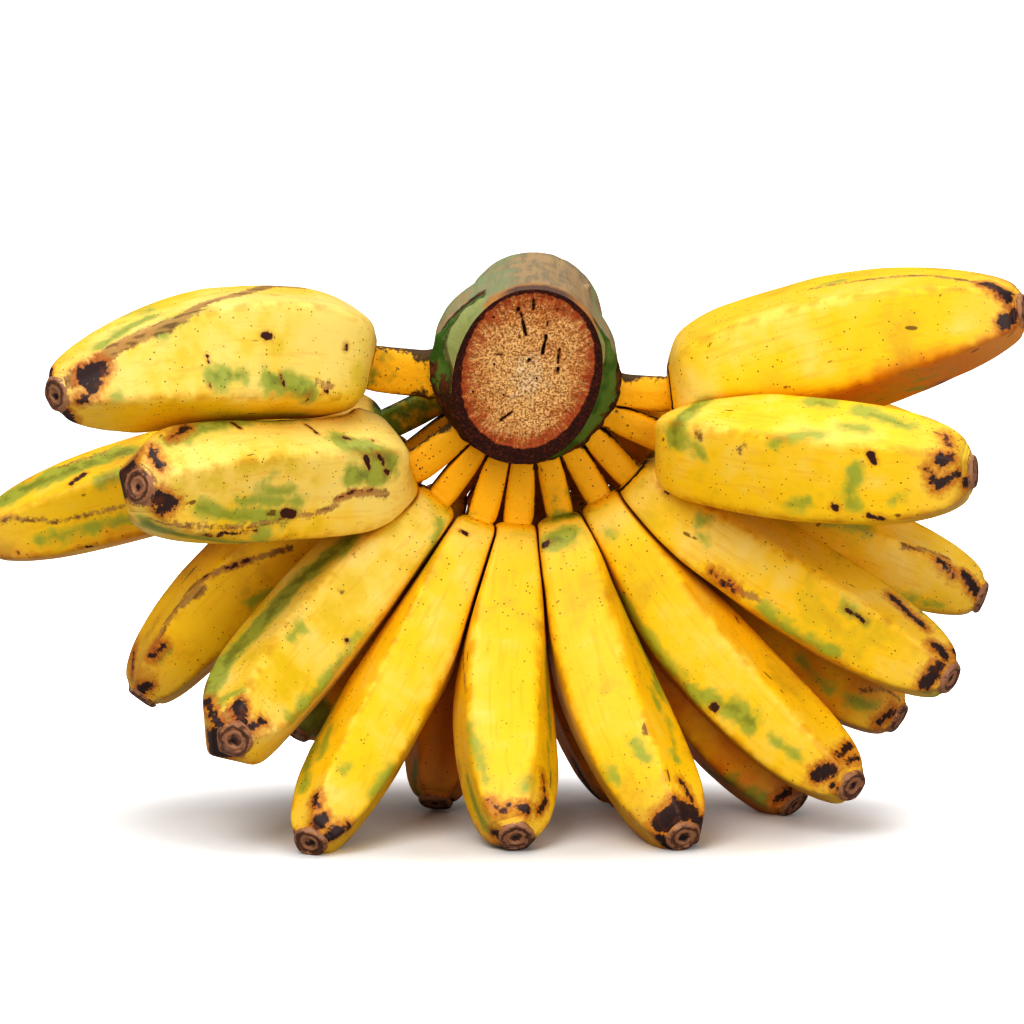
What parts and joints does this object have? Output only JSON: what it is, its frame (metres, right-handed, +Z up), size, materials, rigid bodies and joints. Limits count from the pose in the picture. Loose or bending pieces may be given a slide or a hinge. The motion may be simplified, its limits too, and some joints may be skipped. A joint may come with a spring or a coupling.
{
  "type": "bunch of bananas",
  "caption": "Hand of short, thick, angular cooking bananas in two rows on a cut piece of stalk, standing on its lower finger tips.",
  "frame": {"origin": "centre of the footprint of the whole hand, on the surface that it stands on", "axes": "+X across the hand to the right as seen from its front, +Y from the front cut of the stalk towards its back, +Z up"},
  "size_m": [0.39, 0.1408, 0.2077],
  "materials": {
    "peel": "smooth ripe banana peel, yellow with green patches and brown marks",
    "stalk": "fibrous banana stalk, green and tan skin with brown cut faces"
  },
  "bodies": {
    "root": {"stalk": "stalk", "banana_front_1": "peel", "banana_front_2": "peel", "banana_front_3": "peel", "banana_front_4": "peel", "banana_front_5": "peel", "banana_front_6": "peel", "banana_front_7": "peel", "banana_front_8": "peel", "banana_front_9": "peel", "banana_front_10": "peel", "banana_back_1": "peel", "banana_back_2": "peel", "banana_back_3": "peel", "banana_back_4": "peel", "banana_back_5": "peel", "banana_back_6": "peel", "banana_back_7": "peel", "banana_back_8": "peel", "banana_back_9": "peel"}
  },
  "joints": []
}
